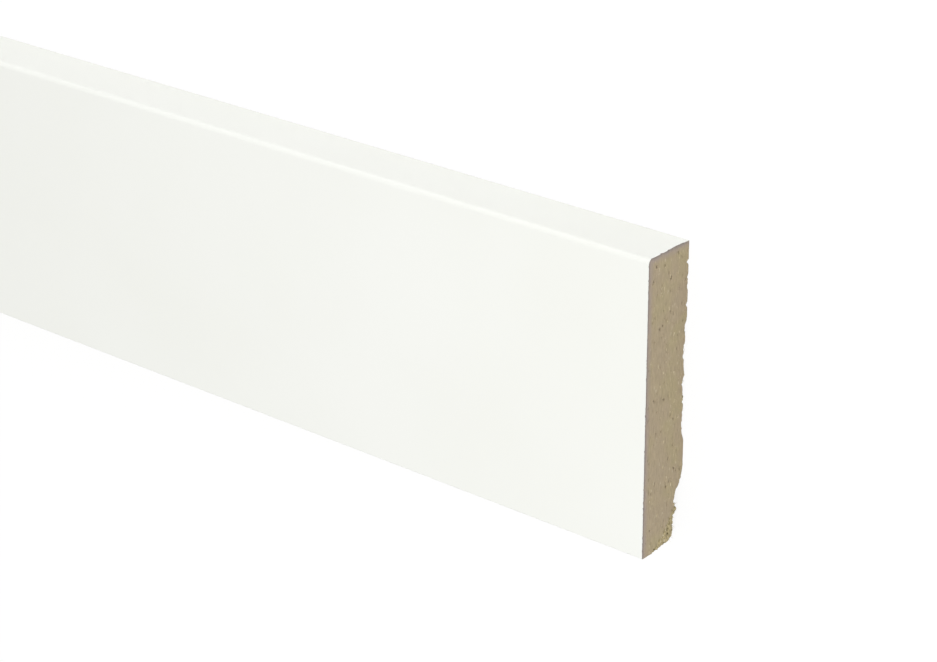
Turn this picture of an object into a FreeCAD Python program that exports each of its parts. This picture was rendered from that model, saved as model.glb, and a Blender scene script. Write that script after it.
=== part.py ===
import FreeCAD, Part
import os

# Skirting board length: square-edged MDF stock, coated on its show face and top edge, with one
# end sawn clean and the other sawn with its back edge torn out.
# It lies on its back. X runs along the length to the torn end, Y up the board to its top edge,
# and Z out of the show face. The origin is the middle of the back face. Sizes in millimetres.

# The stock
board_length = 2400.0
board_height = 90.0
board_thickness = 18.0
top_arris_radius = 1.5          # the rounded edge between the show face and the top edge
foot_arris_radius = 0.4         # the fine easing between the show face and the underside

# The tear at the back of the sawn end, where the last fibres broke as the offcut fell.
# Heights are measured up from the underside, and depths in from the back face.
chipped_foot_depth = 13.5       # how far in the chip along the foot of the sawn face starts
chipped_foot_height = 1.5       # how high that chip has risen at the broken corner
broken_corner_height = 21.5     # how far up the broken lower corner reaches
broken_corner_depth = 4.6       # how deep that corner is gone
torn_strip_foot = 29.5          # where the torn strip above it starts
torn_strip_height = 38.0        # how far up from there the strip reaches
torn_strip_depth = 1.3          # how deep the strip's deepest bite is
tear_run = 14.0                 # how far along the board the broken corner runs out
tool_clearance = 3.0            # how far the tool that cuts the tear reaches past the board
whole_edge_gap = 0.2            # how far the tool stays behind the back edge left whole

# The broken corner's edge, from its foot to its top: share of its height, share of its depth
BROKEN_CORNER = [
    (0.15, 0.90),
    (0.34, 0.92),
    (0.43, 0.64),
    (0.50, 0.72),
    (0.59, 0.87),
    (0.70, 0.72),
    (0.80, 0.34),
    (0.90, 0.08),
]

# The torn strip's edge, from its foot to its top: share of its height, share of its depth
TORN_STRIP = [
    (0.06, 0.50),
    (0.14, 0.88),
    (0.22, 0.82),
    (0.30, 0.54),
    (0.40, 0.96),
    (0.50, 0.90),
    (0.57, 0.54),
    (0.71, 1.00),
    (0.86, 0.56),
    (0.93, 0.72),
]

clean_end_x = -board_length / 2
torn_end_x = board_length / 2


def place(x, up, out):
    """The point at x along the board, up from the underside and out from the back face."""
    return FreeCAD.Vector(x, up - board_height / 2, out)


def arris(x, before, corner, after):
    """The quarter round from before to after, tangent to the two faces that meet at corner."""
    corner_share = 0.5 ** 0.5
    centre = [b + a - c for b, a, c in zip(before, after, corner)]
    middle = [m + (c - m) * corner_share for m, c in zip(centre, corner)]
    return Part.Arc(place(x, *before), place(x, *middle), place(x, *after)).toShape()


def board_section(x):
    """The square-edged section: sharp at the back, eased where it is seen and touched."""
    foot_back = (0, 0)
    foot_under = (0, board_thickness - foot_arris_radius)
    foot_corner = (0, board_thickness)
    foot_face = (foot_arris_radius, board_thickness)
    top_face = (board_height - top_arris_radius, board_thickness)
    top_corner = (board_height, board_thickness)
    top_over = (board_height, board_thickness - top_arris_radius)
    top_back = (board_height, 0)
    underside = Part.makeLine(place(x, *foot_back), place(x, *foot_under))
    foot_arris = arris(x, foot_under, foot_corner, foot_face)
    show_face = Part.makeLine(place(x, *foot_face), place(x, *top_face))
    top_arris = arris(x, top_face, top_corner, top_over)
    top_edge = Part.makeLine(place(x, *top_over), place(x, *top_back))
    back_face = Part.makeLine(place(x, *top_back), place(x, *foot_back))
    return Part.Face(Part.Wire([underside, foot_arris, show_face, top_arris, top_edge, back_face]))


def sawn_stock():
    """The board as it comes off the moulder, sawn square at both ends."""
    return board_section(clean_end_x).extrude(FreeCAD.Vector(board_length, 0, 0))


def torn_edge():
    """The tear's edge on the sawn face above the chipped foot, as pairs of height and depth."""
    edge = [(chipped_foot_height, broken_corner_depth)]
    for up, depth in BROKEN_CORNER:
        edge.append((up * broken_corner_height, depth * broken_corner_depth))
    edge.append((broken_corner_height, -whole_edge_gap))
    edge.append((torn_strip_foot, -whole_edge_gap))
    for up, depth in TORN_STRIP:
        edge.append((torn_strip_foot + up * torn_strip_height, depth * torn_strip_depth))
    edge.append((torn_strip_foot + torn_strip_height, -whole_edge_gap))
    return edge


def tear_outline():
    """The outline of what is gone from the sawn face, closed clear of the foot and the back."""
    x = torn_end_x
    torn = torn_edge()
    points = [place(x, up, depth) for up, depth in torn]
    edge = Part.BSplineCurve()
    edge.interpolate(points)
    chip_start = place(x, 0, chipped_foot_depth)
    below_chip = place(x, -tool_clearance, chipped_foot_depth)
    below_back = place(x, -tool_clearance, -tool_clearance)
    behind_strip = place(x, torn[-1][0], -tool_clearance)
    corners = [points[-1], behind_strip, below_back, below_chip, chip_start, points[0]]
    sides = [Part.makeLine(start, end) for start, end in zip(corners, corners[1:])]
    return Part.Face(Part.Wire([edge.toShape()] + sides))


def torn_piece():
    """What broke away: the outline swept back along the board, sinking out of foot and back."""
    sink = FreeCAD.Vector(-tear_run, -chipped_foot_height, -broken_corner_depth)
    reach = tool_clearance / tear_run
    outline = tear_outline()
    outline.translate(sink * -reach)
    return outline.extrude(sink * (1 + 2 * reach))


def skirting_board():
    """One piece of stock: the sawn board less what tore away at its back."""
    board = sawn_stock().cut(torn_piece())
    return board.Solids[0]


os.makedirs("parts", exist_ok=True)
board = skirting_board()
board.exportStep("parts/skirting_board.step")
box = board.optimalBoundingBox()
print("skirting_board:", len(board.Faces), "faces,", "valid" if board.isValid() else "not valid")
print("length %.1f, height %.1f, thickness %.1f mm" % (box.XLength, box.YLength, box.ZLength))
print("volume %.4f litres" % (board.Volume / 1e6))
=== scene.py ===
# %% [markdown]
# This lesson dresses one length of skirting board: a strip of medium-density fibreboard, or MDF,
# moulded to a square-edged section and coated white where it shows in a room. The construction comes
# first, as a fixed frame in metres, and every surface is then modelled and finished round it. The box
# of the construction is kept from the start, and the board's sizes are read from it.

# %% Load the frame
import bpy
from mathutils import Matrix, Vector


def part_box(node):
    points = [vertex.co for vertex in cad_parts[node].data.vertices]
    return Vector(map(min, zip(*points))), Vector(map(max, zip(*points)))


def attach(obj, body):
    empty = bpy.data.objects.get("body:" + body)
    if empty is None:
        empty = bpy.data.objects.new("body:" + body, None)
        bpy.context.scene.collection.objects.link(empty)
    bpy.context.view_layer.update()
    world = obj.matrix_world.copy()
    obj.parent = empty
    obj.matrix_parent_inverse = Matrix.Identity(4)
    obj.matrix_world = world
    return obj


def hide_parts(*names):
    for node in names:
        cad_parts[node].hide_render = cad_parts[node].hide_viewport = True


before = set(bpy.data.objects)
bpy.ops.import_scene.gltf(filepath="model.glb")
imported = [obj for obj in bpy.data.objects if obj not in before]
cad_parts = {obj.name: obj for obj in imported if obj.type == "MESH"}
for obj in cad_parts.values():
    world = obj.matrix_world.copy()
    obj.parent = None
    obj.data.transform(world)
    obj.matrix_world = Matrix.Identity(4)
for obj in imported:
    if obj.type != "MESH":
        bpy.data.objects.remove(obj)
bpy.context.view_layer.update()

# %% [markdown]
# The board lies on its back. X runs along it to the torn end, Y goes up its height to the top
# edge, and Z comes out of the white face. Its sizes are read from the construction, and the radii
# of its two eased edges, the arrises, are given again here in millimetres. Heights are measured up
# from the underside, depths in from the back face, and run is measured back from the sawn end.

# %% Sizes of the board
import math
import random

import bpy
from mathutils import Matrix, Vector, noise

MM = 0.001
low, high = (Vector(corner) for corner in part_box("skirting_board"))
LENGTH, HEIGHT, THICKNESS = ((high - low) / MM)[:]
TOP_ARRIS = 1.5
FOOT_ARRIS = 0.4
print("length %.0f, height %.0f, thickness %.0f mm" % (LENGTH, HEIGHT, THICKNESS))


def spot(run, up, depth):
    """The place in metres of a point given in millimetres as run, height and depth."""
    return Vector((high.x - run * MM, low.y + up * MM, low.z + depth * MM))


def measures(place):
    """The run, height and depth in millimetres of a place in metres."""
    return (high.x - place.x) / MM, (place.y - low.y) / MM, (place.z - low.z) / MM


# %% [markdown]
# Operators act on whatever is selected, so each step starts from a clean selection with one
# object active. Edges are then picked in code, by where they are.

# %% Selecting
NEAR = 0.01 * MM


def only(thing):
    """Leaves one thing selected and active."""
    bpy.ops.object.select_all(action="DESELECT")
    thing.select_set(True)
    bpy.context.view_layer.objects.active = thing


def pick_edges(thing, test):
    """Goes into edit mode with the edges selected whose two ends both pass the test."""
    only(thing)
    bpy.ops.object.mode_set(mode="EDIT")
    bpy.ops.mesh.select_mode(type="EDGE")
    bpy.ops.mesh.select_all(action="DESELECT")
    bpy.ops.object.mode_set(mode="OBJECT")
    corners = thing.data.vertices
    for edge in thing.data.edges:
        edge.select = all(test(corners[corner].co) for corner in edge.vertices)
    bpy.ops.object.mode_set(mode="EDIT")


print("an edge is picked when both ends are within %.2f mm" % (NEAR / MM))

# %% [markdown]
# A moulder planes the strip to its section in one pass, so the blank is one block with its two
# front edges eased: a round of 1.5 mm along the top, which catches the light, and a fine one
# along the foot. The back edges stay sharp. The section could be drawn and then extruded, but a
# bevel along a picked edge keeps each round one radius that is easy to change. The board is very
# long for its height, so three rings of edges divide its long faces into stretches that can be
# laid out one above another when its finish is mapped.

# %% The moulded blank
ARRIS_STEPS = 8
FOOT_STEPS = 3
RING_SHARES = (1 / 3, 1 / 2, 2 / 3)


def moulded_blank():
    bpy.ops.object.select_all(action="DESELECT")
    bpy.ops.mesh.primitive_cube_add(size=1, location=(low + high) / 2)
    blank = bpy.context.object
    blank.name = "coated_skirting_board"
    blank.scale = high - low
    bpy.ops.object.transform_apply(location=True, rotation=True, scale=True)
    return blank


def ease_front_edge(board, edge_y, radius, steps):
    pick_edges(board, lambda co: abs(co.y - edge_y) < NEAR and abs(co.z - high.z) < NEAR)
    bpy.ops.mesh.bevel(offset=radius * MM, segments=steps, profile=0.5, affect="EDGES")
    bpy.ops.object.mode_set(mode="OBJECT")


def ring_round(board, run):
    only(board)
    bpy.ops.object.mode_set(mode="EDIT")
    bpy.ops.mesh.select_all(action="SELECT")
    bpy.ops.mesh.bisect(plane_co=spot(run, 0, 0), plane_no=(1, 0, 0))
    bpy.ops.object.mode_set(mode="OBJECT")


board = moulded_blank()
ease_front_edge(board, high.y, TOP_ARRIS, ARRIS_STEPS)
ease_front_edge(board, low.y, FOOT_ARRIS, FOOT_STEPS)
for share in RING_SHARES:
    ring_round(board, LENGTH * share)
print("blank:", len(board.data.polygons), "faces")

# %% [markdown]
# The finish of each face comes from how it was made: the face, top edge and arrises are coated,
# the back was sanded, the underside was left as the cutter moulded it, the ends were sawn, and
# the broken places are torn fibre. Masks in one material could tell them apart, but a material for
# each way of making is easier to follow. They get their names here and their patterns further
# down, so that every cutting tool can already carry the finish that it leaves behind.

# %% Finishes and their places
COATED, SAWN, SANDED, MOULDED, CRUMBLED, TORN, CHIPPED = range(7)
FINISHES = {
    COATED: "satin_white_lacquer_on_mdf",
    SAWN: "sawn_mdf_end_grain",
    SANDED: "sanded_mdf_back",
    MOULDED: "moulded_mdf_edge",
    CRUMBLED: "crumbled_mdf_end",
    TORN: "torn_mdf_fibre",
    CHIPPED: "chipped_mdf_foot",
}
SQUARE_ON = 0.99
materials = {}
for slot_number, name in FINISHES.items():
    materials[slot_number] = bpy.data.materials.new(name)
    materials[slot_number].use_nodes = True


def wear_finishes(thing, finish_of):
    for slot_number in FINISHES:
        thing.data.materials.append(materials[slot_number])
    for face in thing.data.polygons:
        face.material_index = finish_of(face)


def finish_of_blank(face):
    if abs(face.normal.x) > SQUARE_ON:
        return SAWN
    if face.normal.z < -SQUARE_ON:
        return SANDED
    if face.normal.y < -SQUARE_ON:
        return MOULDED
    return COATED


wear_finishes(board, finish_of_blank)
print("coated faces:", sum(face.material_index == COATED for face in board.data.polygons))

# %% [markdown]
# Each rough surface is cut by a tool whose one side is that surface. The board's own faces could
# be displaced instead, but that would bend the edges beside them. The rough side is a fine grid,
# laid point by point where the surface goes. A skirt is drawn out from its rim and closed by one
# flat face, which makes it a block.

# %% A tool with one rough side
TOOL_REACH = 3.0


def rough_tool(name, sides, step, lay, outward, finish_of):
    """A closed block. lay(u, v) gives its rough side, and outward points away from the board."""
    columns, rows = (round(side / step) for side in sides)
    bpy.ops.object.select_all(action="DESELECT")
    bpy.ops.mesh.primitive_grid_add(x_subdivisions=columns, y_subdivisions=rows, size=1)
    tool = bpy.context.object
    tool.name = name
    for vertex in tool.data.vertices:
        vertex.co = lay(vertex.co.x + 0.5, vertex.co.y + 0.5)
    skirt = outward * TOOL_REACH * MM
    flat = Vector(1 - abs(part) for part in outward)
    far = Vector(high[i] if outward[i] > 0 else low[i] for i in range(3)) + skirt
    bpy.ops.object.mode_set(mode="EDIT")
    bpy.ops.mesh.select_all(action="SELECT")
    bpy.ops.mesh.region_to_loop()
    bpy.ops.mesh.extrude_region_move(TRANSFORM_OT_translate={"value": skirt})
    bpy.ops.transform.resize(value=flat, center_override=far)
    bpy.ops.mesh.edge_face_add()
    bpy.ops.mesh.select_all(action="SELECT")
    bpy.ops.mesh.normals_make_consistent(inside=False)
    bpy.ops.object.mode_set(mode="OBJECT")
    wear_finishes(tool, finish_of)
    print(name, len(tool.data.polygons), "faces")
    return tool


print("the flat side of a tool lies %.0f mm off the board" % TOOL_REACH)

# %% [markdown]
# A Boolean then takes the tool away from the board, and leaves a true edge wherever the rough
# surface meets a smooth one. Where cuts nearly touch it can also leave a sliver or a pinhole. Those
# could be mended by hand, but the next cut would need it again, so after each cut corners a hair
# apart are merged and holes filled, until every edge joins exactly two faces.

# %% Cutting
HAIR = 0.001


def open_edges(thing):
    """Counts the edges that don't join exactly two faces."""
    uses = [0] * len(thing.data.edges)
    for corner in thing.data.loops:
        uses[corner.edge_index] += 1
    return sum(use != 2 for use in uses)


def close_up(thing):
    """Merges corners a hair apart and fills every hole that is left."""
    only(thing)
    bpy.ops.object.mode_set(mode="EDIT")
    bpy.ops.mesh.select_mode(type="VERT")
    bpy.ops.mesh.select_all(action="SELECT")
    bpy.ops.mesh.remove_doubles(threshold=HAIR * MM)
    bpy.ops.mesh.delete_loose()
    bpy.ops.mesh.select_all(action="DESELECT")
    bpy.ops.mesh.select_non_manifold()
    bpy.ops.mesh.fill_holes(sides=0)
    bpy.ops.object.mode_set(mode="OBJECT")


def cut_away(board, tool):
    only(board)
    cut = board.modifiers.new("cut", "BOOLEAN")
    cut.operation = "DIFFERENCE"
    cut.solver = "EXACT"
    cut.material_mode = "INDEX"
    cut.object = tool
    bpy.ops.object.modifier_apply(modifier=cut.name)
    bpy.data.objects.remove(tool)
    left_open = open_edges(board)
    close_up(board)
    print("open edges after the cut:", left_open, "and closed up:", open_edges(board))


print("open edges before the first cut:", open_edges(board))

# %% [markdown]
# As the saw came through the back of the board, the last fibres broke instead of being cut. The line
# of the tear on the sawn face could be a smooth curve, but a broken line through listed heights and
# depths keeps its sharp nooks. All that is rough on the board comes from one smooth noise, whose bumps
# are given a size, a height and a stretch.

# %% The line of the tear
TORN_EDGE = [
    (0.0, 4.5), (2.4, 4.0), (3.3, 3.7), (7.1, 3.8), (7.9, 3.3), (8.6, 2.6),
    (9.4, 2.2), (10.4, 2.7), (11.6, 3.4), (12.7, 3.6), (14.4, 3.4), (16.0, 2.5),
    (17.3, 1.3), (18.2, 1.1), (18.8, 0.5), (20.6, 0.2), (22.5, 0.0), (29.5, 0.0),
    (30.8, 0.15), (31.9, 0.4), (34.8, 1.0), (38.5, 0.85), (41.1, 0.6), (43.1, 0.6),
    (45.9, 1.15), (48.6, 0.8), (50.2, 0.5), (51.1, 0.4), (53.0, 0.9), (54.9, 0.8),
    (56.8, 0.95), (61.1, 0.6), (62.8, 0.5), (64.0, 0.7), (65.6, 0.7), (66.3, 0.3),
    (67.6, 0.0), (70.2, 0.0), (71.2, 0.3), (72.6, 0.0), (75.4, 0.0), (76.4, 0.35),
    (77.8, 0.1), (79.2, 0.3), (80.4, 0.0), (82.9, 0.0), (83.8, 0.45), (84.6, 0.0),
    (90.0, 0.0),
]
DEEPEST = max(depth for up, depth in TORN_EDGE)


def along_line(points, at):
    """Reads the broken line through the points at a distance along it."""
    if at <= points[0][0]:
        return points[0][1]
    for (before, start), (after, end) in zip(points, points[1:]):
        if at <= after:
            return start + (end - start) * (at - before) / (after - before)
    return points[-1][1]


def grain(first, second, size, height, seed, stretch=(1, 1)):
    """Smooth noise over two measures in mm: its bumps have that size, height and stretch."""
    place = Vector((first / stretch[0] / size, second / stretch[1] / size, seed))
    return height * noise.noise(place)


print("deepest point of the tear: %.1f mm" % DEEPEST)

# %% [markdown]
# From that line the torn surface climbs back to the back face over a run that grows with its
# depth, and ends in a small step where the dense skin of the board snapped. MDF is pressed in
# layers, so it splits in flakes: the depth is pulled towards steps of half a millimetre, where
# noise alone would look like stone. Noise at three scales then roughens it: a wander of the whole
# edge, the clumps, and single fibres. Where the tear is shallow all of them fade.

# %% The tear along the back
TEAR_RUN = 14.0
LEAST_TEAR_RUN = 0.6
SKIN_SHARE = 0.22
FLAKE = 0.5
FLAKE_PASSES = 2
LEAST_TEAR = 0.03
WHOLE_GAP = 0.4
WANDER_RUN = 2.0
LEAST_ROUGH = 0.2
TEAR_TOOL_RUN = 24.0
TOOL_MARGIN = 1.0
TEAR_STEP = 0.22


def in_flakes(depth, wander):
    """Pulls a depth towards the layers that the board splits along, harder with each pass."""
    layers = (depth + wander) / FLAKE
    part = layers % 1
    for _ in range(FLAKE_PASSES):
        part = part * part * (3 - 2 * part)
    return (math.floor(layers) + part) * FLAKE - wander


def torn_depth(run, up):
    """How deep in from the back face the torn surface lies, or below zero where it is whole."""
    wander = grain(run, up, size=3.0, height=0.5, seed=1) * min(run / WANDER_RUN, 1)
    wander += grain(run, up, size=0.8, height=0.25, seed=21)
    edge = along_line(TORN_EDGE, up + wander)
    uneven = 1 + grain(0, up, size=4.0, height=0.55, seed=2)
    reach = TEAR_RUN * (edge / DEEPEST) * uneven + LEAST_TEAR_RUN
    reach += grain(run, up, size=1.1, height=0.5, seed=3)
    share = max(run, 0) / reach
    if share > 1 or edge < LEAST_TEAR:
        return -WHOLE_GAP
    slope = edge * (1 - (1 - SKIN_SHARE) * share)
    clumps = grain(run, up, size=1.8, height=0.30, seed=4)
    clumps += grain(run, up, size=0.8, height=0.16, seed=22)
    fibres = grain(run, up, size=0.45, height=0.12, seed=5, stretch=(1 / 0.35, 1))
    fibres += grain(run, up, size=0.4, height=0.08, seed=6, stretch=(1, 2.5))
    wavy = grain(run, up, size=6.0, height=0.4, seed=16)
    layered = in_flakes(slope + clumps * min(edge, 1), wavy)
    return layered + fibres * min(edge + LEAST_ROUGH, 1)


def lay_tear(u, v):
    run = u * (TEAR_TOOL_RUN + TOOL_MARGIN) - TOOL_MARGIN
    up = v * (HEIGHT + 2 * TOOL_MARGIN) - TOOL_MARGIN
    return spot(run, up, torn_depth(run, up))


tear_sides = (TEAR_TOOL_RUN + TOOL_MARGIN, HEIGHT + 2 * TOOL_MARGIN)
out_of_back = Vector((0, 0, -1))
tear_tool = rough_tool("tear_tool", tear_sides, TEAR_STEP, lay_tear, out_of_back, lambda face: TORN)
cut_away(board, tear_tool)

# %% [markdown]
# The foot of the sawn face is chipped as well: nothing at the front, rising to 1.2 mm beside the
# broken corner. It could be part of the tear, but it is the same kind of surface laid over the
# underside, where the flakes lie edge on and don't show. A high chip runs back 9 mm.

# %% The chipped foot
CHIPPED_FOOT = [
    (0.0, 1.6), (4.7, 1.2), (5.3, 1.0), (6.7, 0.7), (8.5, 0.45),
    (9.5, 0.28), (10.4, 0.16), (11.8, 0.06), (13.4, 0.0), (18.0, 0.0),
]
FOOT_RUN = 9.0
HIGH_CHIP = 1.5
LEAST_FOOT_RUN = 0.5
FOOT_SLOPE = 0.7
LEAST_CHIP = 0.01
LEAST_FOOT_ROUGH = 0.25
FOOT_TOOL_RUN = 14.0
FOOT_STEP = 0.2


def chipped_height(run, depth):
    """How far up from the underside the chipped surface lies, or below zero where it is whole."""
    edge = along_line(CHIPPED_FOOT, depth + grain(run, depth, size=0.9, height=0.3, seed=23))
    uneven = 1 + grain(0, depth, size=2.5, height=0.5, seed=7)
    reach = LEAST_FOOT_RUN + FOOT_RUN * edge * uneven / HIGH_CHIP
    share = max(run, 0) / reach
    if share > 1 or edge < LEAST_CHIP:
        return -WHOLE_GAP
    rough = grain(run, depth, size=1.0, height=0.22, seed=8)
    rough += grain(run, depth, size=0.4, height=0.14, seed=9, stretch=(1, 2.5))
    return edge * (1 - FOOT_SLOPE * share) + rough * min(edge + LEAST_FOOT_ROUGH, 1)


def lay_foot(u, v):
    run = u * (FOOT_TOOL_RUN + TOOL_MARGIN) - TOOL_MARGIN
    depth = v * (THICKNESS + 2 * TOOL_MARGIN) - TOOL_MARGIN
    return spot(run, chipped_height(run, depth), depth)


foot_sides = (FOOT_TOOL_RUN + TOOL_MARGIN, THICKNESS + 2 * TOOL_MARGIN)
downwards = Vector((0, -1, 0))
foot_tool = rough_tool("foot_tool", foot_sides, FOOT_STEP, lay_foot, downwards, lambda face: CHIPPED)
cut_away(board, foot_tool)

# %% [markdown]
# A saw leaves MDF fairly smooth, but not flat. The fibres lie in layers parallel to the face, so on
# the end they show as short streaks that run up the board, with pits where a clump was plucked out.
# Small bites along the coated edges are where the hard film chipped, and one long shallow one lies
# near the back of the top edge. Bump could draw them all, but they are deep enough to hold a shadow,
# so they are cut. The largest are listed one by one. A bite is a height, a depth, half a height, half
# a depth and how far it goes in, all in millimetres.

# %% Bites listed one by one
PLUCKED = [
    (87.9, 4.7), (86.0, 10.5), (83.4, 8.6), (81.5, 7.7), (86.8, 14.3), (82.5, 15.6),
    (78.8, 0.9), (71.7, 7.6), (70.5, 10.0), (68.6, 11.0), (67.9, 12.2), (47.1, 14.0),
    (46.1, 9.6), (40.1, 6.2), (38.5, 5.0), (36.7, 12.8), (30.5, 4.7), (27.1, 6.8),
    (21.6, 1.2), (20.0, 6.1), (18.5, 7.5), (10.0, 4.5), (7.7, 14.6),
]
CHIPPED_FILM = [
    (90.0, 5.6, 0.8, 3.2, 0.40),
    (89.7, 16.6, 0.3, 0.30, 0.40),
    (89.8, 12.4, 0.35, 0.35, 0.40),
    (89.9, 9.1, 0.25, 0.25, 0.40),
]
PLUCKED_HALVES = (0.24, 0.36)
PLUCKED_STRETCHES = (1.1, 2.0)
PLUCKED_BITES = (0.35, 0.60)
draw = random.Random(11)


def plucked_pit(place):
    half = draw.uniform(*PLUCKED_HALVES)
    return (*place, half * draw.uniform(*PLUCKED_STRETCHES), half, draw.uniform(*PLUCKED_BITES))


torn_end_bites = [plucked_pit(place) for place in PLUCKED] + CHIPPED_FILM
print("bites placed by hand:", len(torn_end_bites))

# %% [markdown]
# The other bites are small and many: stretched pits all over the end, and round chips along the
# front and the top edge. They could be spread evenly, but plucked fibre follows no order, so they
# are drawn at random, from a fixed seed that gives the same board every time.

# %% Bites at random
PITS = 170
PIT_HALVES = (0.14, 0.28)
PIT_STRETCHES = (1.0, 3.2)
PIT_BITES = (0.08, 0.36)
CHIPS = 34
CHIP_HALVES = (0.12, 0.32)
CHIP_BITES = (0.04, 0.16)
EDGE_MARGIN = 1
ROW_HEIGHT = 2.0
ROW_OVERLAP = 1


def random_pits(count):
    pits = []
    for _ in range(count):
        half = draw.uniform(*PIT_HALVES)
        up = draw.uniform(EDGE_MARGIN, HEIGHT - EDGE_MARGIN)
        depth = draw.uniform(EDGE_MARGIN, THICKNESS - EDGE_MARGIN)
        pits.append((up, depth, half * draw.uniform(*PIT_STRETCHES), half, draw.uniform(*PIT_BITES)))
    return pits


def random_chips(count):
    """Bites out of the film along the front and the top edge."""
    chips = []
    for _ in range(count):
        along = draw.uniform(EDGE_MARGIN, HEIGHT + THICKNESS - 2 * EDGE_MARGIN)
        place = (along, THICKNESS) if along < HEIGHT else (HEIGHT, THICKNESS - along + HEIGHT)
        half = draw.uniform(*CHIP_HALVES)
        chips.append((*place, half, half, draw.uniform(*CHIP_BITES)))
    return chips


def bites_by_row(bites):
    """Sorts bites into rows of height, so that a place on the end reads only those close by."""
    rows = {}
    for bite in bites:
        first = int((bite[0] - ROW_OVERLAP) // ROW_HEIGHT)
        last = int((bite[0] + ROW_OVERLAP) // ROW_HEIGHT)
        for row in range(first, last + 1):
            rows.setdefault(row, []).append(bite)
    return lambda up: rows.get(int(up // ROW_HEIGHT), [])


torn_end_bites += random_pits(PITS) + random_chips(CHIPS)
print("bites in the sawn end:", len(torn_end_bites))

# %% [markdown]
# Near the tear the sawn face has crumbled too. A band along the foot widens towards the back
# corner, and a narrow one follows the torn edge. The two could be drawn by hand, but a rule for
# each keeps their ragged edges easy to change.

# %% Where the end crumbled
FOOT_BAND_RISE = 0.056
FOOT_BAND_DROP = 0.4
FOOT_BAND_FADE = 1.6
TEAR_BAND = 0.3
TEAR_BAND_FULL = 0.4
TEAR_BAND_FADE = 0.5


def crumbled_share(up, depth):
    """From 0 on the clean part of the sawn face to 1 where it has crumbled."""
    from_front = THICKNESS - depth
    reach = FOOT_BAND_RISE * from_front ** 2 - FOOT_BAND_DROP
    reach += grain(up, depth, size=1.6, height=1.6, seed=15)
    foot = (reach - up) / FOOT_BAND_FADE
    torn = along_line(TORN_EDGE, up)
    band = TEAR_BAND + grain(up, 0, size=2.6, height=1.2, seed=17)
    edge = (band * min(torn / TEAR_BAND_FULL, 1) + torn - depth) / TEAR_BAND_FADE
    return min(max(foot, edge, 0), 1)


foot_band_top = FOOT_BAND_RISE * THICKNESS ** 2 - FOOT_BAND_DROP
print("the crumbled band goes up %.0f mm at the back" % foot_band_top)

# %% [markdown]
# The clean part of the end keeps the fine streaks that the saw teeth left, and the crumbled part
# sinks by up to a millimetre and breaks into lumps. The whole sawn face lies a tenth of a
# millimetre inside the true end, so that nothing stands past it. Each end could have a tool of its
# own, but they differ only in their pits and in how fine they are, so one function makes both.

# %% The sawn ends
SAW_RECESS = 0.10
LEAST_RECESS = 0.02
SAW_STEP = 0.2
SAW_MARGIN = 0.6
CRUMBLE_SINK = 0.28
CRUMBLED_FROM = 0.4
BITE_END = 6


def sawn_recess(up, depth, bites, rough):
    """How far inside the true end the sawn surface lies."""
    streaks = grain(up, depth, size=0.35, height=0.05, seed=10, stretch=(6, 1))
    streaks += grain(up, depth, size=0.22, height=0.03, seed=11, stretch=(3, 1))
    recess = SAW_RECESS + streaks + grain(up, depth, size=0.5, height=0.02, seed=12)
    lumps = grain(up, depth, size=1.1, height=0.46, seed=13)
    lumps += grain(up, depth, size=0.42, height=0.36, seed=14, stretch=(1.8, 1))
    recess += rough * (CRUMBLE_SINK + lumps)
    ragged_up = up + grain(up, depth, size=0.7, height=0.35, seed=24)
    ragged_depth = depth + grain(up, depth, size=0.7, height=0.25, seed=25)
    for bite_up, bite_depth, half_up, half_depth, bite in bites(up):
        away = ((ragged_up - bite_up) / half_up) ** 2 + ((ragged_depth - bite_depth) / half_depth) ** 2
        if away < BITE_END:
            recess += bite * math.exp(-away)
    return max(recess, LEAST_RECESS)


def sawn_end(name, x_sign, step, bites, rough_at):
    """The tool that saws an end: x_sign is 1 for the torn end and -1 for the clean one."""
    end_run = 0 if x_sign > 0 else LENGTH

    def lay(u, v):
        up = u * (HEIGHT + 2 * SAW_MARGIN) - SAW_MARGIN
        depth = v * (THICKNESS + 2 * SAW_MARGIN) - SAW_MARGIN
        recess = sawn_recess(up, depth, bites, rough_at(up, depth))
        return spot(end_run + x_sign * recess, up, depth)

    def finish_of(face):
        _, up, depth = measures(face.center)
        return CRUMBLED if rough_at(up, depth) > CRUMBLED_FROM else SAWN

    sides = (HEIGHT + 2 * SAW_MARGIN, THICKNESS + 2 * SAW_MARGIN)
    return rough_tool(name, sides, step, lay, Vector((x_sign, 0, 0)), finish_of)


torn_end_rows = bites_by_row(torn_end_bites)
saw_tool = sawn_end("saw_tool", 1, SAW_STEP, torn_end_rows, crumbled_share)
cut_away(board, saw_tool)

# %% [markdown]
# The far end was sawn as well, from the other side, and came out clean: the same surface with
# fewer pits and no crumbled corner, on a coarser grid, as nobody looks at it closely. Edges
# sharper than 40 degrees stay crisp. The long plain faces are shaded flat: each is one polygon
# with a ragged end, and a smooth one would pick up a streak of shade from any vertex at that end.

# %% The clean end
CLEAN_STEP = 0.45
CLEAN_PITS = 60
CRISP = 40
PLAIN = 0.9999

clean_end_rows = bites_by_row(random_pits(CLEAN_PITS))
clean_tool = sawn_end("clean_saw_tool", -1, CLEAN_STEP, clean_end_rows, lambda up, depth: 0)
cut_away(board, clean_tool)


def shade(board):
    """Smooth where the board is round or rough, and flat on its long plain faces."""
    only(board)
    bpy.ops.object.shade_smooth_by_angle(angle=math.radians(CRISP))
    for face in board.data.polygons:
        plain = face.material_index in (COATED, SANDED, MOULDED)
        if plain and max(abs(part) for part in face.normal) > PLAIN:
            face.use_smooth = False


shade(board)

# %% [markdown]
# Where fibreboard tears, loose fibres are left standing. Hair would be quick to spread, but it is
# no closed mesh, so one bundle of fibres is modelled in three bends: a five-sided shaft, drawn out
# ring by ring from a circle, that thins to its tip. A fourth, almost straight, is kept for the
# fibres that lie flat.

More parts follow.
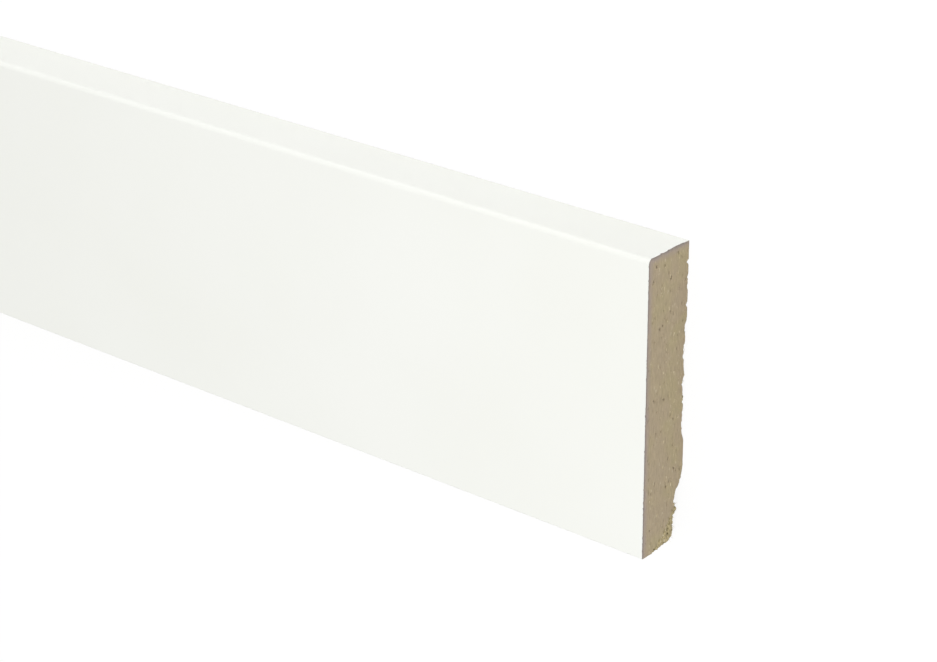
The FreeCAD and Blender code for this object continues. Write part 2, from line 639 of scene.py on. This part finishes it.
# %% Bent fibres
FIBRE_WIDTH = 0.13
FIBRE_SIDES = 5
FIBRE_RINGS = 4
FIBRE_TAPER = 0.78
FIBRE_BENDS = (25, 60, 100)
FLAT_BEND = 4


def one_fibre(name, bend):
    """A fibre one millimetre long that stands on the origin and leans over towards X."""
    radius = FIBRE_WIDTH * MM / 2
    bpy.ops.object.select_all(action="DESELECT")
    bpy.ops.mesh.primitive_circle_add(vertices=FIBRE_SIDES, radius=radius, fill_type="NGON")
    fibre = bpy.context.object
    fibre.name = name
    tip = Vector((0, 0, 0))
    bpy.ops.object.mode_set(mode="EDIT")
    bpy.ops.mesh.select_all(action="SELECT")
    for ring in range(FIBRE_RINGS):
        lean = bend * (ring + 1) / FIBRE_RINGS
        step = Vector((math.sin(lean), 0, math.cos(lean))) * MM / FIBRE_RINGS
        bpy.ops.mesh.extrude_region_move(TRANSFORM_OT_translate={"value": step})
        tip += step
        bpy.ops.transform.resize(value=(FIBRE_TAPER, FIBRE_TAPER, 1), center_override=tip)
    bpy.ops.mesh.select_all(action="SELECT")
    bpy.ops.mesh.normals_make_consistent(inside=False)
    bpy.ops.object.mode_set(mode="OBJECT")
    return fibre


fibre_models = [one_fibre("fibre_model", math.radians(bend)) for bend in FIBRE_BENDS]
flat_shive = one_fibre("flat_shive", math.radians(FLAT_BEND))
print("one fibre:", len(flat_shive.data.polygons), "faces")

# %% [markdown]
# Copies of the three are stood on torn faces picked at random, with their roots in the board. They
# lean mostly along the board's layers, as they do when a layer peels. A particle system could
# scatter them, but a short loop can also turn down a copy that would leave the board's own box,
# and draw it again.

# %% Standing fibres
TORN_FIBRES = 420
ROOT = 0.12
FROM_FACE = 0.9
TO_END = 0.2
ACROSS_LAYERS = 0.5
FIBRE_LENGTHS = (0.5, 1.9)
FIBRE_WIDTHS = (0.5, 1.1)


def fits_in_box(mesh):
    places = [vertex.co for vertex in mesh.vertices]
    return all(low[i] <= place[i] <= high[i] for place in places for i in range(3))


def plant(fibre, foot, way, turn, size):
    """A copy of a fibre with its root at foot, standing along way. Nothing if it won't fit."""
    copy = fibre.data.copy()
    stand = way.to_track_quat("Z", "X").to_matrix().to_4x4()
    turned = stand @ Matrix.Rotation(turn, 4, "Z")
    copy.transform(Matrix.Translation(foot) @ turned @ Matrix.Diagonal((*size, 1)))
    if not fits_in_box(copy):
        bpy.data.meshes.remove(copy)
        return None
    planted = bpy.data.objects.new("fibre", copy)
    bpy.context.collection.objects.link(planted)
    return planted


def planted_fibres(count, make):
    """Makes fibres until so many of them have fitted."""
    planted = []
    while len(planted) < count:
        fibre = make()
        if fibre:
            planted.append(fibre)
    return planted


def torn_fibre(faces):
    face = draw.choice(faces)
    way = Vector(draw.uniform(-1, 1) for _ in range(3))
    way = face.normal * FROM_FACE + Vector((way.x + TO_END, way.y, way.z * ACROSS_LAYERS))
    way = way.normalized()
    foot = face.center - way * ROOT * MM
    long, wide = draw.uniform(*FIBRE_LENGTHS), draw.uniform(*FIBRE_WIDTHS)
    return plant(draw.choice(fibre_models), foot, way, draw.uniform(0, math.tau), (wide, wide, long))


torn_faces = [face for face in board.data.polygons if face.material_index in (CRUMBLED, TORN, CHIPPED)]
planted = planted_fibres(TORN_FIBRES, lambda: torn_fibre(torn_faces))
print("standing fibres:", len(planted), "on", len(torn_faces), "torn faces")

# %% [markdown]
# A second lot lies flat on the sawn face: pale shives, dragged out and ironed down by the saw, each a
# nearly straight fibre spread to a flake. They could be painted, but as flakes they catch the grazing
# light. The widest are listed one by one, as height, depth, length and width, and one that won't fit
# is left out. All the fibres are joined into one piece.

# %% Flat shives
DRAGGED = [
    (87.2, 0.5, 1.9, 0.35), (84.6, 0.7, 0.8, 0.50), (88.4, 15.3, 0.9, 0.40), (86.8, 4.4, 1.5, 0.60),
    (82.7, 4.4, 2.2, 0.35), (82.2, 16.0, 1.2, 0.40), (82.1, 8.1, 1.3, 0.60), (79.0, 10.7, 1.6, 0.40),
    (78.8, 12.0, 0.9, 0.60), (77.3, 11.9, 1.1, 0.70), (74.6, 15.2, 1.5, 0.40), (72.8, 8.3, 1.3, 0.60),
    (69.5, 9.0, 0.9, 0.50), (64.4, 5.8, 0.9, 0.70), (64.2, 3.3, 0.7, 0.45), (61.1, 9.2, 0.9, 0.60),
    (57.2, 12.7, 1.8, 0.45), (54.4, 10.3, 0.8, 0.65), (52.5, 5.3, 1.4, 0.50), (50.7, 2.2, 1.4, 0.60),
    (48.4, 7.5, 0.9, 0.45), (44.0, 4.9, 1.0, 0.55), (41.2, 10.8, 0.9, 0.60), (40.9, 6.7, 1.2, 0.40),
    (33.1, 9.4, 0.9, 0.60), (29.4, 3.8, 1.1, 0.45), (25.7, 9.3, 1.5, 0.45), (21.4, 7.6, 1.1, 0.45),
    (18.5, 5.5, 1.2, 0.70), (16.9, 15.3, 0.9, 0.40), (15.8, 14.0, 0.7, 0.50), (11.3, 11.6, 0.9, 0.60),
    (5.4, 6.8, 0.9, 0.80), (4.1, 8.5, 1.5, 0.50), (4.1, 6.9, 2.0, 0.50), (2.2, 9.3, 1.5, 0.55),
    (0.9, 14.7, 0.8, 0.40),
]
LAID_SHIVES = 36
SHIVE_LENGTHS = (0.4, 1.3)
SHIVE_WIDTHS = (0.12, 0.32)
SHIVE_SLANT = 0.35
SHIVE_MARGIN = 2
FRONT_MARGIN = 1.5
FLATNESS = 0.7
SHIVE_LIFT = 0.04
LEAST_COVER = 0.055


def laid_shive(up, depth, long, wide):
    """A flake of the given length and width whose middle lies on the sawn face."""
    recess = sawn_recess(up, depth, torn_end_rows, crumbled_share(up, depth))
    way = Vector((0, draw.choice((-1, 1)), draw.uniform(-SHIVE_SLANT, SHIVE_SLANT))).normalized()
    foot = spot(max(recess - SHIVE_LIFT, LEAST_COVER), up, depth) - way * long / 2 * MM
    return plant(flat_shive, foot, way, math.pi / 2, (FLATNESS, wide / FIBRE_WIDTH, long))


def random_shive():
    up = draw.uniform(SHIVE_MARGIN, HEIGHT - SHIVE_MARGIN)
    depth = draw.uniform(SHIVE_MARGIN, THICKNESS - FRONT_MARGIN)
    return laid_shive(up, depth, draw.uniform(*SHIVE_LENGTHS), draw.uniform(*SHIVE_WIDTHS))


planted += planted_fibres(LAID_SHIVES, random_shive)
planted += [fibre for fibre in (laid_shive(*shive) for shive in DRAGGED) if fibre]
only(planted[0])
for fibre in planted:
    fibre.select_set(True)
bpy.ops.object.join()
loose_fibres = bpy.context.object
loose_fibres.name = "loose_wood_fibres"
for fibre in (*fibre_models, flat_shive):
    bpy.data.objects.remove(fibre)
print("loose fibres:", len(loose_fibres.data.polygons), "faces")

# %% [markdown]
# When the finish is drawn on a square map, each kind of surface gets a place on it. An automatic
# unwrap would scatter them, so each is laid out by a rule of its own. The torn end is what people
# look at, so it is mapped nearly as large as the map is wide, and the long plain faces are laid
# out in rows. The coated face, top edge and arrises unroll into one strip.

# %% The map of the finish
END_SCALE = 0.0104
CLEAN_SCALE = 0.0048
ROW_WIDTH = 0.94
MAP_EDGE = 0.012
TORN_V = 0.215
CLEAN_V = 0.895
CHIPPED_U = 0.5


def unrolled(run, up, depth):
    """Distance across the coated strip, from below the foot arris over the face to the back."""
    round_corner = THICKNESS - depth
    return up + round_corner if up > HEIGHT / 2 else up - round_corner


def in_rows(rows, first_v, row_gap, v_scale, across):
    """Lays the length of the board out in rows of equal length, one above another."""
    row_length = LENGTH / rows

    def chart(centre, run, up, depth):
        row = min(int(centre[0] / row_length), rows - 1)
        u = MAP_EDGE + (run - row * row_length) / row_length * ROW_WIDTH
        return u, first_v + row * row_gap + across(run, up, depth) * v_scale

    return chart


def flat_end(centre, run, up, depth):
    if centre[0] < LENGTH / 2:
        return MAP_EDGE + up * END_SCALE, MAP_EDGE + depth * END_SCALE
    return MAP_EDGE + up * CLEAN_SCALE, CLEAN_V + depth * CLEAN_SCALE


def torn_back(centre, run, up, depth):
    return MAP_EDGE + up * END_SCALE, TORN_V + run * END_SCALE


def chipped_patch(centre, run, up, depth):
    return CHIPPED_U + run * END_SCALE, CLEAN_V + depth * CLEAN_SCALE


coated_rows = {"rows": 3, "first_v": 0.425, "row_gap": 0.095, "v_scale": 0.0008}
sanded_rows = {"rows": 2, "first_v": 0.715, "row_gap": 0.062, "v_scale": 0.0006}
moulded_rows = {"rows": 2, "first_v": 0.845, "row_gap": 0.022, "v_scale": 0.0008}
charts = {
    SAWN: flat_end,
    CRUMBLED: flat_end,
    TORN: torn_back,
    CHIPPED: chipped_patch,
    COATED: in_rows(**coated_rows, across=unrolled),
    SANDED: in_rows(**sanded_rows, across=lambda run, up, depth: up),
    MOULDED: in_rows(**moulded_rows, across=lambda run, up, depth: depth),
}
print("kinds of surface with a chart:", len(charts))

# %% [markdown]
# Each corner of a face is then placed by the chart of that face. Seams could be marked along the
# edges and the board unwrapped by an operator, but here a seam falls by itself wherever two
# neighbouring faces have different charts.

# %% Map the board
def map_finish(board):
    places = board.data.uv_layers.new(name="OFBake")
    corners = board.data.loops
    for face in board.data.polygons:
        chart = charts[face.material_index]
        centre = measures(face.center)
        for corner in face.loop_indices:
            vertex = board.data.vertices[corners[corner].vertex_index]
            places.data[corner].uv = chart(centre, *measures(vertex.co))
    us, vs = zip(*(corner.uv for corner in places.data))
    print("map from %.3f %.3f to %.3f %.3f" % (min(us), min(vs), max(us), max(vs)))


map_finish(board)

# %% [markdown]
# A material is a small graph of nodes. One helper adds a node with its settings and fills its
# inputs, from a value or from the socket that feeds it. An input goes by its name, or by its number
# where several share a name, as on Math and Mix. Colours are written as the sRGB hex values that a
# paint chart would give, and turned to the linear values that the shader works in. Patterns read
# Object coordinates, which are metres here, so a pattern's scale is one over its real size. That
# is simpler than a map for each pattern, and a streak keeps its size on a board of any length.

# %% Helpers for the finishes
def linear(hex_colour):
    """An sRGB hex colour as linear red, green, blue and alpha."""
    parts = [int(hex_colour[i:i + 2], 16) / 255 for i in (1, 3, 5)]
    return (*((c / 12.92 if c <= 0.04045 else ((c + 0.055) / 1.055) ** 2.4) for c in parts), 1)


def once_per(*sizes_mm):
    """The scale at which a pattern repeats once in each of the sizes."""
    return [1 / (size * MM) for size in sizes_mm]


def add(tree, kind, into=None, stops=(), **settings):
    """Adds a shader node of a kind, called by its name in Blender without ShaderNode.

    into holds what its inputs get, and stops the places and colours of a ramp.
    """
    made = tree.nodes.new("ShaderNode" + kind)
    for name, value in settings.items():
        setattr(made, name, value)
    for name, value in (into or {}).items():
        if isinstance(value, bpy.types.NodeSocket):
            tree.links.new(value, made.inputs[name])
        else:
            made.inputs[name].default_value = value
    for number, (place, colour) in enumerate(stops):
        points = made.color_ramp.elements
        point = points[number] if number < 2 else points.new(place)
        point.position = place
        point.color = linear(colour)
    return made


def start_finish(material, roughness, specular):
    """Sets the shader's own constants, and gives back what a finish is drawn with."""
    tree = material.node_tree
    shader = tree.nodes["Principled BSDF"]
    shader.inputs["Roughness"].default_value = roughness
    shader.inputs["Specular IOR Level"].default_value = specular
    place = add(tree, "TexCoord").outputs["Object"]
    return tree, shader, place


def tell(material):
    print(material.name, "has", len(material.node_tree.nodes), "nodes")


print("the white of the board in linear values:", linear("#F6F7F2"))

# %% [markdown]
# The show face and top edge are sprayed with satin white lacquer and flatted, so they are almost
# one colour: a warm-green white with a slow cloudiness of about 60 mm. Under the film the fibres
# swell a little, in dashes along the board that are too fine to see and are drawn here 12 mm by
# 1.2 mm, and the film itself dries with the orange peel of a spray gun, 1.6 mm from dimple to
# dimple. Both could be cut into the mesh, but they are only about a hundredth of a millimetre
# deep, so they are bump. The gloss wanders with the cloud.

# %% Satin white lacquer
CLOUDINESS = 60
SWELLING_SIZE = (12, 1.2, 1.2)
SWELLING_DEPTH = 0.008
DIMPLE_SIZE = 1.6
DIMPLE_DEPTH = 0.012


def satin_white_lacquer():
    tree, shader, place = start_finish(materials[COATED], roughness=0.42, specular=0.35)
    cloud = add(tree, "TexNoise", {"Vector": place, "Scale": 1 / (CLOUDINESS * MM), "Detail": 3.0})
    colour = add(
        tree,
        "ValToRGB",
        {"Fac": cloud.outputs["Fac"]},
        stops=[(0.3, "#F4F5EF"), (0.7, "#F6F7F2")],
    )
    tree.links.new(colour.outputs["Color"], shader.inputs["Base Color"])
    gloss = add(tree, "MapRange", {"Value": cloud.outputs["Fac"], "To Min": 0.38, "To Max": 0.46})
    tree.links.new(gloss.outputs[0], shader.inputs["Roughness"])
    along = add(tree, "Mapping", {"Vector": place, "Scale": once_per(*SWELLING_SIZE)})
    swelling = add(tree, "TexNoise", {"Vector": along.outputs[0], "Scale": 1.0})
    raised = add(
        tree,
        "Bump",
        {"Height": swelling.outputs["Fac"], "Distance": SWELLING_DEPTH * MM, "Strength": 0.5},
    )
    peel = add(tree, "TexNoise", {"Vector": place, "Scale": 1 / (DIMPLE_SIZE * MM)})
    dimpled = add(
        tree,
        "Bump",
        {
            "Height": peel.outputs["Fac"],
            "Distance": DIMPLE_DEPTH * MM,
            "Strength": 0.5,
            "Normal": raised.outputs["Normal"],
        },
    )
    tree.links.new(dimpled.outputs["Normal"], shader.inputs["Normal"])


satin_white_lacquer()
tell(materials[COATED])

# %% [markdown]
# Raw fibreboard is wood fibre and resin. It has no grain of its own, but it was pressed flat, so
# every cut across it shows streaks of fibre about 2.6 mm long and 0.35 mm thick. Clouds of 9 mm
# lean to olive or to mauve, as the resin is uneven. One noise could draw both, but then they would
# change together, so each has its own. One function draws the streaks of every raw surface from
# its looks, a dictionary in which contrast is how far they lighten and darken the colour.

# %% Streaks of pressed fibre
CLOUD_SIZE = 9


def streaked_fibre(tree, place, looks):
    """Gives back the colour of the fibre and its streaks."""
    clouds = add(tree, "TexNoise", {"Vector": place, "Scale": 1 / (CLOUD_SIZE * MM), "Detail": 2.0})
    core = add(tree, "ValToRGB", {"Fac": clouds.outputs["Fac"]}, stops=looks["clouds"])
    along = add(tree, "Mapping", {"Vector": place, "Scale": once_per(*looks["streak_mm"])})
    streaks = add(
        tree,
        "TexNoise",
        {"Vector": along.outputs[0], "Scale": 1.0, "Detail": 3.0, "Roughness": 0.62},
    ).outputs["Fac"]
    shade = add(
        tree,
        "MapRange",
        {
            "Value": streaks,
            "From Min": 0.25,
            "From Max": 0.75,
            "To Min": 1 - looks["contrast"],
            "To Max": 1 + looks["contrast"],
        },
    )
    shaded = add(tree, "HueSaturation", {"Color": core.outputs["Color"], "Value": shade.outputs[0]})
    return shaded.outputs[0], streaks


print("clouds of resin: %d mm" % CLOUD_SIZE)

# %% [markdown]
# Pale flecks are single shives, and dark ones are painted shade where the pores between them lie.
# Noise would give blots of every size, so each fleck is a cell of a stretched Voronoi pattern with a
# frayed edge, and only a share of the cells is chosen. In the looks, share is the part of the cells
# that is pale, and as many are dark, and spread is how far a fleck reaches.

# %% Flecks and painted shade of pores
FRAY = 0.7
FRAY_SCALE = 2.5
FLECK_EDGE = 0.3

# The sockets of a Mix node that mixes colours.
FACTOR, FIRST, SECOND = 0, 6, 7
MIXED = 2


def with_flecks(tree, place, colour, looks):
    """The colour with pale shives and the painted shade of pores drawn over it."""
    cells_place = add(tree, "Mapping", {"Vector": place, "Scale": once_per(*looks["fleck_mm"])})
    frayed = add(
        tree,
        "TexNoise",
        {"Vector": cells_place.outputs[0], "Scale": FRAY_SCALE, "Detail": 2.0},
    )
    pushed = add(
        tree,
        "VectorMath",
        {0: frayed.outputs["Color"], 1: (FRAY, FRAY, FRAY), 2: cells_place.outputs[0]},
        operation="MULTIPLY_ADD",
    )
    cells = add(tree, "TexVoronoi", {"Vector": pushed.outputs[0], "Scale": 1.0})
    middle = add(
        tree,
        "MapRange",
        {
            "Value": cells.outputs["Distance"],
            "From Min": looks["spread"],
            "From Max": looks["spread"] - FLECK_EDGE,
        },
    )
    kind = add(tree, "SeparateColor", {"Color": cells.outputs["Color"]})
    # The pale flecks are shives, and the dark ones are painted shade in the pores.
    flecks = (
        ("pale", "GREATER_THAN", 1 - looks["share"]),
        ("dark", "LESS_THAN", looks["share"]),
    )
    for name, test, limit in flecks:
        chosen = add(tree, "Math", {0: kind.outputs[0], 1: limit}, operation=test)
        drawn = add(tree, "Math", {0: chosen.outputs[0], 1: middle.outputs[0]}, operation="MULTIPLY")
        mixed = add(
            tree,
            "Mix",
            {FACTOR: drawn.outputs[0], FIRST: colour, SECOND: linear(looks[name])},
            data_type="RGBA",
        )
        colour = mixed.outputs[MIXED]
    return colour


print("a fleck fades over %.1f of its cell" % FLECK_EDGE)

# %% [markdown]
# A pit looks darker the deeper it goes, because less light gets in. That could be painted on a
# map, but the depth of a pit is simply how far the surface lies inside the board's end. Read from
# the place like that, it stays right when the board changes size.

# %% Dark pits
def darker_with_depth(tree, place, colour, shallow_mm, deep_mm, darkest):
    x = add(tree, "SeparateXYZ", {"Vector": place}).outputs["X"]
    from_middle = add(tree, "Math", {0: x}, operation="ABSOLUTE")
    light = add(
        tree,
        "MapRange",
        {
            "Value": from_middle.outputs[0],
            "From Min": high.x - deep_mm * MM,
            "From Max": high.x - shallow_mm * MM,
            "To Min": darkest,
            "To Max": 1.0,
        },
    )
    made = add(tree, "HueSaturation", {"Color": colour, "Value": light.outputs[0]})
    return made.outputs[0]


print("each end lies %.0f mm from the middle" % (high.x / MM))

# %% [markdown]
# Along the two coated edges the core is denser, and the saw drags a little of the film over it. That
# leaves a mauve-grey rim about a millimetre and a half wide. The dark line at the very edge is painted
# shade along the film's cut edge.
# It could be painted by hand, but read from the place like the pits it always follows the film.
# Each band is given as how near the film it is full, how far off it is gone, and its colour.

# %% Rim and painted edge shade beside the film
RIM_AND_EDGE_SHADE_BANDS = (
    (0.6, 2.3, "#A2948D"),
    # The second band is painted shade along the film's cut edge.
    (0.2, 0.9, "#87807C"),
)
PATCH_SIZE = 3


def close_to_film(tree, place, near_mm, far_mm):
    """From 0 at far_mm away from the coated faces to 1 at near_mm."""
    parts = add(tree, "SeparateXYZ", {"Vector": place})
    nearness = []
    for axis, surface in (("Y", high.y), ("Z", high.z)):
        limits = {"From Min": surface - far_mm * MM, "From Max": surface - near_mm * MM}
        near = add(tree, "MapRange", {"Value": parts.outputs[axis], **limits})
        nearness.append(near.outputs[0])
    made = add(tree, "Math", {0: nearness[0], 1: nearness[1]}, operation="MAXIMUM")
    return made.outputs[0]


# The mauve-grey rim is the core's own colour, and the dark line is painted shade at the film's edge.
def film_rim_and_edge_shade(tree, place, colour):
    patches = add(tree, "TexNoise", {"Vector": place, "Scale": 1 / (PATCH_SIZE * MM), "Detail": 3.0})
    strength = add(
        tree,
        "MapRange",
        {"Value": patches.outputs["Fac"], "From Min": 0.3, "From Max": 0.7, "To Min": 0.45},
    )
    for near_mm, far_mm, hex_colour in RIM_AND_EDGE_SHADE_BANDS:
        band = add(
            tree,
            "Math",
            {0: close_to_film(tree, place, near_mm, far_mm), 1: strength.outputs[0]},
            operation="MULTIPLY",
        )
        mixed = add(
            tree,
            "Mix",
            {FACTOR: band.outputs[0], FIRST: colour, SECOND: linear(hex_colour)},
            data_type="RGBA",
        )
        colour = mixed.outputs[MIXED]
    return colour


print("bands beside the film:", len(RIM_AND_EDGE_SHADE_BANDS))

# %% [markdown]
# All raw surfaces are the same fibre, so one function finishes each of them from its looks. On the
# sawn ends the streaks run up the board. The surface is quite matt, and the streaks stand out by a
# twentieth of a millimetre: the widest are in the mesh already, and bump is enough for the rest.
# Only looks with pits get the painted shade in the pits, and the rim and painted edge shade of a sawn
# end.

# %% Sawn fibreboard
SAWN_LOOKS = {
    "clouds": [(0.35, "#A99C7D"), (0.5, "#A99A80"), (0.65, "#A89981")],
    "streak_mm": (1.0, 2.6, 0.35),
    "contrast": 0.16,
    "fleck_mm": (0.9, 2.0, 0.9),
    "pale": "#C6BA9F",
    # dark is painted shade in the pores between the shives
    "dark": "#8B7D64",
    "share": 0.14,
    "spread": 0.46,
    "shader": {"roughness": 0.85, "specular": 0.25},
    "relief": {"Distance": 0.05 * MM, "Strength": 0.6},
    "pits": {"shallow_mm": 0.20, "deep_mm": 0.52, "darkest": 0.55},
}


def raw_mdf(slot_number, looks):
    tree, shader, place = start_finish(materials[slot_number], **looks["shader"])
    colour, streaks = streaked_fibre(tree, place, looks)
    colour = with_flecks(tree, place, colour, looks)
    if "pits" in looks:
        colour = darker_with_depth(tree, place, colour, **looks["pits"])
        colour = film_rim_and_edge_shade(tree, place, colour)
    tree.links.new(colour, shader.inputs["Base Color"])
    relief = add(tree, "Bump", {"Height": streaks, **looks["relief"]})
    tree.links.new(relief.outputs["Normal"], shader.inputs["Normal"])
    tell(materials[slot_number])


raw_mdf(SAWN, SAWN_LOOKS)

# %% [markdown]
# Where the board crumbled, chipped or tore, the same fibre was pulled apart instead of cut. It is
# fluffier, more yellow and far more uneven. Its pale flecks are fibre bundles, paler than the core and
# brightened further with painted highlight, and its dark flecks are painted shade in the hollows
# between them. So the drawing stays and the looks change. Of the three, only the crumbled places are
# part of the sawn end, so they alone have pits too, and these start deeper.

# %% Crumbled, torn and chipped fibre
BROKEN_LOOKS = {
    "clouds": [(0.35, "#AB9E7A"), (0.55, "#B1A482"), (0.7, "#BAAE8B")],
    "streak_mm": (0.9, 1.0, 0.5),
    "contrast": 0.34,
    "fleck_mm": (0.9, 1.4, 0.9),
    # pale is paler fibre, brightened further with painted highlight on the lumps
    "pale": "#EAE0BC",
    # dark is painted shade in the hollows between the bundles
    "dark": "#776B4B",
    "share": 0.3,
    "spread": 0.5,
    "shader": {"roughness": 0.95, "specular": 0.1},
    "relief": {"Distance": 0.12 * MM, "Strength": 0.8},
}
CRUMBLED_PITS = {"shallow_mm": 0.38, "deep_mm": 1.3, "darkest": 0.5}

raw_mdf(CRUMBLED, {**BROKEN_LOOKS, "pits": CRUMBLED_PITS})
raw_mdf(TORN, BROKEN_LOOKS)
raw_mdf(CHIPPED, BROKEN_LOOKS)

# %% [markdown]
# The back was sanded to thickness with a wide belt that ran along the board, so its streaks lie
# along X and are long and faint. The underside met the same moulder as the face but got no film:
# it cuts across the layers, so its streaks are finer. Both are a shade darker than the core, and
# share their looks but for the size of the streaks and flecks.

# %% Sanded back and moulded underside
PLANED_LOOKS = {
    "clouds": [(0.35, "#A99A78"), (0.5, "#A6977A"), (0.65, "#A3947C")],
    "contrast": 0.08,
    "pale": "#BDAF90",
    # dark is painted shade in the pores between the fibres
    "dark": "#8C7E62",
    "share": 0.2,
    "spread": 0.42,
    "shader": {"roughness": 0.75, "specular": 0.3},
    "relief": {"Distance": 0.02 * MM, "Strength": 0.5},
}

raw_mdf(SANDED, {**PLANED_LOOKS, "streak_mm": (7.0, 0.7, 1.0), "fleck_mm": (4.0, 1.4, 1.0)})
raw_mdf(MOULDED, {**PLANED_LOOKS, "streak_mm": (5.0, 1.0, 0.4), "fleck_mm": (3.0, 1.0, 1.2)})

# %% [markdown]
# A loose fibre is one pale shive or a few stuck together with resin. One flat colour would make
# them look like bristles, so the colour changes every millimetre or so, from one fibre to the next
# and along each of them.

# %% Loose fibre
COLOUR_CHANGE = 0.9


def loose_fibre_finish():
    material = bpy.data.materials.new("loose_softwood_fibre")
    material.use_nodes = True
    tree, shader, place = start_finish(material, roughness=0.7, specular=0.3)
    change = add(tree, "TexNoise", {"Vector": place, "Scale": 1 / (COLOUR_CHANGE * MM), "Detail": 2.0})
    colour = add(
        tree,
        "ValToRGB",
        {"Fac": change.outputs["Fac"]},
        stops=[(0.3, "#AC9E7B"), (0.5, "#C1B392"), (0.7, "#D8CDAE")],
    )
    tree.links.new(colour.outputs["Color"], shader.inputs["Base Color"])
    loose_fibres.data.materials.append(material)
    tell(material)


loose_fibre_finish()

# %% [markdown]
# The board stands for the plain one of the construction, and the fibres ride with it. Both are
# coated MDF, the one stock that the object is made of.

# %% Join the pieces to the frame
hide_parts("skirting_board")
for piece in (board, loose_fibres):
    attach(piece, "root")
    print(piece.name, len(piece.data.polygons), "faces")

# %% [markdown]
# The stage is a wide pale floor. Plain white paint would need so much light that the board lost
# its shades. So the floor glows almost pure white where it is seen straight from the camera or in
# a gloss, and the small part of it that is lit as a real floor keeps the shadow. The glow is a
# little over one, because the lit part is a little darker than white. The floor lies a tenth of a
# millimetre under the board, so that the two don't share a plane.

# %% Floor
FLOOR_SIZE = 80.0
FLOOR_GAP = 0.1
SHADOW_PART = 0.13
PAPER_GLOW = 1.03


def seen_directly(tree):
    """1 for a ray from the camera or from a gloss, and 0 for one that lights the object."""
    rays = add(tree, "LightPath")
    seen = add(
        tree,
        "Math",
        {0: rays.outputs["Is Camera Ray"], 1: rays.outputs["Is Glossy Ray"]},
        operation="MAXIMUM",
    )
    return seen.outputs[0]


def pale_floor():
    bpy.ops.object.select_all(action="DESELECT")
    bpy.ops.mesh.primitive_plane_add(size=FLOOR_SIZE, location=(0, 0, low.z - FLOOR_GAP * MM))
    floor = bpy.context.object
    floor.name = "floor"
    bpy.ops.object.transform_apply(location=True, rotation=True, scale=True)
    paper = bpy.data.materials.new("matt_white_paper")
    paper.use_nodes = True
    tree, shader, _ = start_finish(paper, roughness=1.0, specular=0.0)
    shader.inputs["Base Color"].default_value = linear("#F9F9F9")
    white = add(tree, "Emission", {"Strength": PAPER_GLOW})
    share = add(tree, "Math", {0: seen_directly(tree), 1: 1 - SHADOW_PART}, operation="MULTIPLY")
    mixed = add(tree, "MixShader", {0: share.outputs[0], 1: shader.outputs[0], 2: white.outputs[0]})
    tree.links.new(mixed.outputs[0], tree.nodes["Material Output"].inputs["Surface"])
    floor.data.materials.append(paper)
    tell(paper)
    return floor


floor = pale_floor()

# %% [markdown]
# The light is a plain soft studio: a white room all round, and three soft boxes. The key box stands
# past the torn end. From there it grazes the sawn face, which shows the pits, and its light falls
# off slowly along the board. The edge box stands low on the side of the top edge and further back,
# so that the top edge keeps its brightness where the face has lost some. The far box is large, and
# lights the other half of the board from above. One box would be simpler, but then the face and
# the top edge would fade alike.

# %% Light
ROOM = 0.625
SOFT_BOXES = {
    "key_box": {"place": (1.78, 0.12, 1.05), "aim": (1.2, 0, 0), "size": (0.65, 0.50), "watts": 6.1},
    "edge_box": {"place": (0.45, 1.30, 0.30), "aim": (0.9, 0, 0), "size": (1.20, 0.35), "watts": 3.9},
    "far_box": {"place": (-0.80, 0.25, 1.30), "aim": (-0.8, 0, 0), "size": (1.00, 0.70), "watts": 4.0},
}


def white_room():
    """White where it is seen, and dimmer where it only lights the board."""
    world = bpy.data.worlds.new("white_room")
    bpy.context.scene.world = world
    world.use_nodes = True
    tree = world.node_tree
    background = tree.nodes["Background"]
    background.inputs["Color"].default_value = (1, 1, 1, 1)
    strength = add(tree, "MapRange", {"Value": seen_directly(tree), "To Min": ROOM, "To Max": 1.0})
    tree.links.new(strength.outputs[0], background.inputs["Strength"])


def soft_box(name, place, aim, size, watts):
    light = bpy.data.lights.new(name, "AREA")
    light.shape = "RECTANGLE"
    light.size, light.size_y = size
    light.energy = watts
    lamp = bpy.data.objects.new(name, light)
    bpy.context.collection.objects.link(lamp)
    lamp.location = place
    lamp.rotation_euler = (Vector(aim) - Vector(place)).to_track_quat("-Z", "Y").to_euler()
    lamp.visible_camera = False


white_room()
for name, box in SOFT_BOXES.items():
    soft_box(name, **box)
print("soft boxes:", len(SOFT_BOXES))

# %% [markdown]
# The camera looks down on the lying board from past its torn end, through a short telephoto lens,
# which keeps the near end from swelling. It could be aimed at a point, but its place and turn were
# fitted to the board's straight edges, so its slight roll is kept. Its place is measured in
# millimetres from the middle of the torn end's back edge, and its turn is in degrees.

# %% Camera
CAMERA_FROM_END = (407.0, 329.9, 572.1)
CAMERA_TURN = (-24.177, 40.192, -0.293)
CAMERA_LENS = 107.93
SENSOR_WIDTH = 36.0
NEAREST = 0.01
FARTHEST = 200.0


def look_down():
    camera = bpy.data.objects.new("camera", bpy.data.cameras.new("camera"))
    bpy.context.collection.objects.link(camera)
    camera.data.sensor_width = SENSOR_WIDTH
    camera.data.lens = CAMERA_LENS
    camera.data.clip_start = NEAREST
    camera.data.clip_end = FARTHEST
    camera.location = Vector((high.x, 0, low.z)) + Vector(CAMERA_FROM_END) * MM
    camera.rotation_euler = [math.radians(turn) for turn in CAMERA_TURN]
    bpy.context.scene.camera = camera
    print("camera in metres:", camera.location[:])


look_down()
bpy.context.scene.view_settings.view_transform = "Standard"
